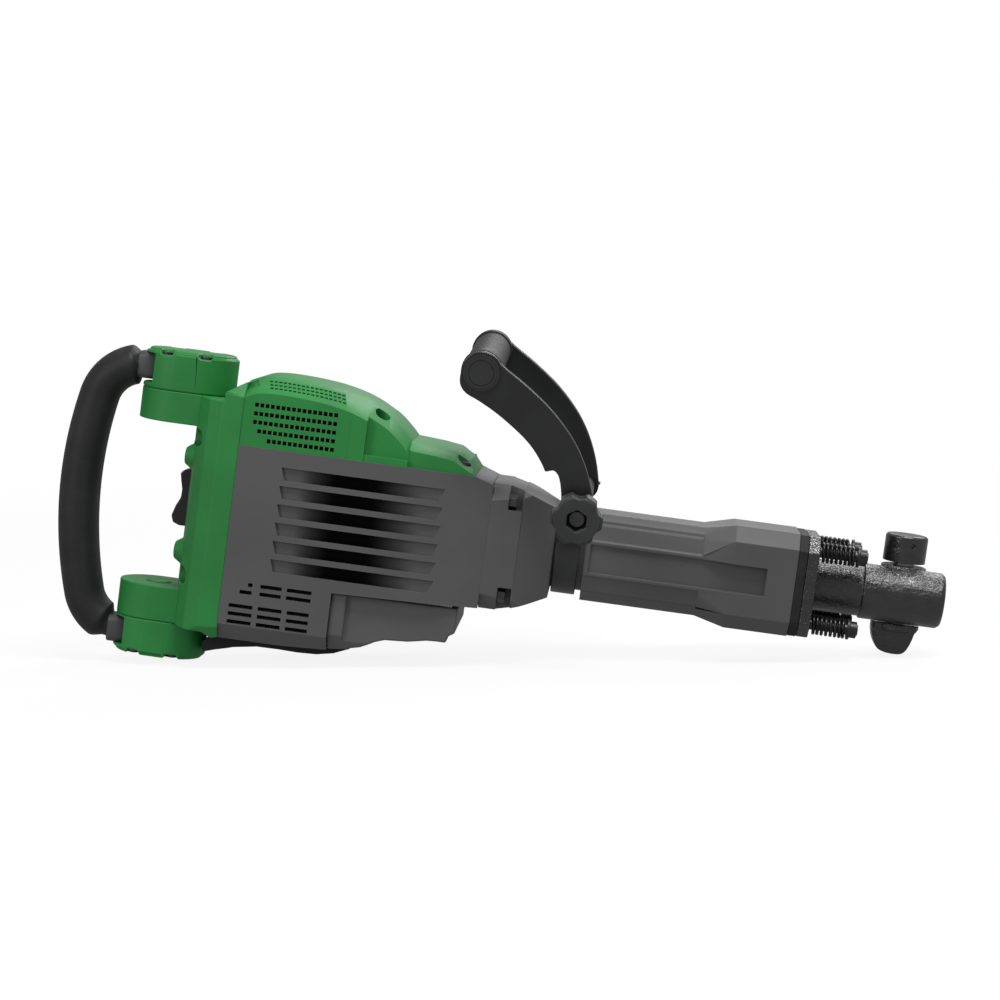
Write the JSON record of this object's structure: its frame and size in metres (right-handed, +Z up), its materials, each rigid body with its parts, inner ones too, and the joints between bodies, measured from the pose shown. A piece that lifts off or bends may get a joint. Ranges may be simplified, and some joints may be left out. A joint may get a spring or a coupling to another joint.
{
  "type": "demolition hammer",
  "caption": "Electric demolition hammer with a hex tool socket, D-shaped rear handle with rocker switch, and a swinging U-shaped side handle on a clamp band.",
  "frame": {"origin": "centre of the tool socket's mouth", "axes": "+X along the tool axis, the way the tool leaves the nose; +Z up with the rear handle upright; +Y to the side away from the clamp knob"},
  "size_m": [0.694, 0.1614, 0.285],
  "materials": {
    "green_casing": "satin moulded green nylon",
    "grey_casing": "die-cast alloy with satin grey paint",
    "inner_plate": "bare die-cast alloy",
    "grip_rubber": "fine-textured dark grey rubber",
    "soft_rubber": "black rubber",
    "black_steel": "forged steel, oiled black oxide",
    "spring_steel": "oiled black spring steel",
    "zinc_steel": "zinc-plated steel",
    "ground_steel": "ground and hardened steel",
    "motor_iron": "laminated core steel",
    "copper_wire": "enamelled copper",
    "carbon": "pressed carbon",
    "black_moulding": "black moulded nylon",
    "gloss_black": "gloss black moulding",
    "charcoal_steel": "pressed steel with charcoal satin coat",
    "knob_nylon": "charcoal glass-filled nylon"
  },
  "bodies": {
    "root": {"crankcase": "grey_casing", "motor_housing": "grey_casing", "tail_cover": "green_casing", "top_cover": "green_casing", "bottom_cover": "grey_casing", "gear_plate": "inner_plate", "barrel": "grey_casing", "upper_handle_cap": "green_casing", "lower_handle_cap": "green_casing", "handle_tube": "ground_steel", "rear_grip": "grip_rubber", "handle_dampers": "soft_rubber", "handle_cap_screws": "zinc_steel", "lug_plug": "green_casing", "underside_bumper": "soft_rubber", "switch_body": "black_moulding", "stator_core": "motor_iron", "field_coils": "copper_wire", "brush_holders": "black_moulding", "carbon_brushes": "carbon", "armature_bearings": "ground_steel", "idler_bearings": "ground_steel", "crank_bearings": "ground_steel", "cylinder_liner": "ground_steel", "bolt_guide": "ground_steel", "damper_ring": "soft_rubber", "front_gasket": "soft_rubber", "nose_bolts": "zinc_steel", "nose_springs": "spring_steel", "nose_nuts": "spring_steel", "crankcase_bolts": "zinc_steel", "cover_screws": "zinc_steel"},
    "armature": {"armature_shaft": "ground_steel", "armature_core": "motor_iron", "armature_windings": "copper_wire", "commutator": "copper_wire", "cooling_fan": "black_moulding"},
    "idler": {"idler_shaft": "ground_steel", "idler_gear": "ground_steel"},
    "crank": {"crankshaft": "ground_steel", "crank_gear": "ground_steel"},
    "rod": {"connecting_rod": "ground_steel"},
    "piston": {"piston": "ground_steel", "wrist_pin": "ground_steel", "piston_ring": "soft_rubber"},
    "striker": {"striker": "ground_steel", "striker_ring": "soft_rubber"},
    "impact_bolt": {"impact_bolt": "ground_steel"},
    "switch": {"switch_rocker": "gloss_black"},
    "nose": {"front_cover": "black_steel"},
    "retainer": {"retainer_shaft": "zinc_steel", "retainer_knob": "black_steel", "retainer_lever": "black_steel"},
    "side_clamp": {"clamp_band": "charcoal_steel", "clamp_bolt": "zinc_steel"},
    "side_handle": {"side_arm_near": "charcoal_steel", "side_arm_far": "charcoal_steel", "side_grip": "grip_rubber", "grip_bolt": "charcoal_steel"},
    "clamp_knob": {"clamp_knob": "knob_nylon"}
  },
  "joints": [
    {"name": "armature_spin", "type": "hinge", "parent": "root", "child": "armature", "pos_m": [-0.519, 0, 0], "axis": [0, 0, 1], "range_deg": [-225, 225]},
    {"name": "idler_spin", "type": "hinge", "parent": "root", "child": "idler", "pos_m": [-0.477, 0, 0], "axis": [0, 0, 1], "range_deg": [-62, 62]},
    {"name": "crank_turn", "type": "hinge", "parent": "root", "child": "crank", "pos_m": [-0.424, 0, 0], "axis": [0, 0, 1], "range_deg": [-18, 18]},
    {"name": "rod_swing", "type": "hinge", "parent": "crank", "child": "rod", "pos_m": [-0.424, -0.02, 0], "axis": [0, 0, 1], "range_deg": [-18, 18]},
    {"name": "piston_stroke", "type": "slide", "parent": "root", "child": "piston", "axis": [1, 0, 0], "range_m": [-0.0064, 0.0064]},
    {"name": "striker_flight", "type": "slide", "parent": "root", "child": "striker", "axis": [1, 0, 0], "range_m": [-0.02, 0.008]},
    {"name": "impact_bolt_travel", "type": "slide", "parent": "root", "child": "impact_bolt", "axis": [1, 0, 0], "range_m": [0, 0.012]},
    {"name": "switch_rock", "type": "hinge", "parent": "root", "child": "switch", "pos_m": [-0.585, 0, 0.002], "axis": [0, 1, 0], "range_deg": [-14, 0]},
    {"name": "nose_float", "type": "slide", "parent": "root", "child": "nose", "axis": [1, 0, 0], "range_m": [0, 0.003], "stiffness_N_per_m": 20000, "springref_m": -0.001, "deforming": ["nose_springs"]},
    {"name": "retainer_turn", "type": "hinge", "parent": "nose", "child": "retainer", "pos_m": [-0.0315, 0.017, 0], "axis": [0, 0, 1], "range_deg": [0, 180]},
    {"name": "clamp_swivel", "type": "hinge", "parent": "root", "child": "side_clamp", "pos_m": [-0.288, 0, 0], "axis": [1, 0, 0], "continuous": true},
    {"name": "side_handle_swing", "type": "hinge", "parent": "side_clamp", "child": "side_handle", "pos_m": [-0.288, -0.00439, 0.04177], "axis": [0, 0.9945, 0.1045], "range_deg": [-15, 105]},
    {"name": "clamp_knob_turn", "type": "hinge", "parent": "side_clamp", "child": "clamp_knob", "pos_m": [-0.288, -0.00439, 0.04177], "axis": [0, 0.9945, 0.1045], "continuous": true}
  ],
  "couplings": [
    {"joint": "idler_spin", "follows": "armature_spin", "ratio": -0.27273},
    {"joint": "crank_turn", "follows": "armature_spin", "ratio": 0.079823},
    {"joint": "rod_swing", "follows": "armature_spin", "ratio": -0.079823},
    {"joint": "piston_stroke", "follows": "armature_spin", "m_per_rad": 0.0015964}
  ]
}
